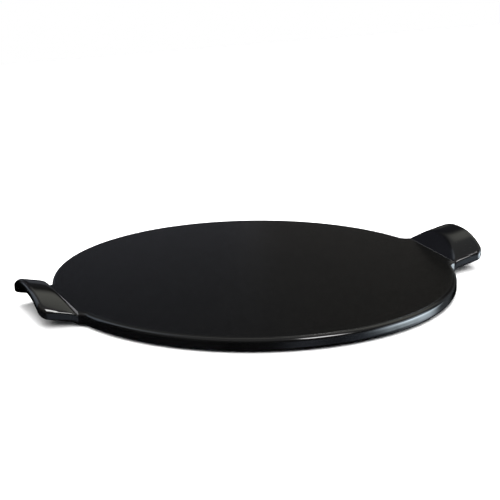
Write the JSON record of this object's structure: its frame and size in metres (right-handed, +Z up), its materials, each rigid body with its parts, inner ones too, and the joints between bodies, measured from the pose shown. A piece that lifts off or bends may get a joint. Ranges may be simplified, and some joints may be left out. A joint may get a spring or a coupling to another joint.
{
  "type": "pizza stone",
  "caption": "Round black glazed ceramic pizza stone: thick plate with a flat satin cooking surface, a glossy rounded rim and an upswept, arched handle at each side.",
  "frame": {"origin": "on the table under the middle of the stone, at the level of its feet", "axes": "+X through the right handle, +Y to the back, +Z up out of the cooking surface"},
  "size_m": [0.435, 0.37, 0.0329],
  "materials": {
    "body_glaze": "gloss",
    "surface_glaze": "satin",
    "bare_clay": "matte"
  },
  "bodies": {
    "root": {"stone_disc": "body_glaze", "handle_left": "body_glaze", "handle_right": "body_glaze", "cooking_glaze": "surface_glaze", "foot_ring": "bare_clay", "centre_foot": "bare_clay"}
  },
  "joints": []
}
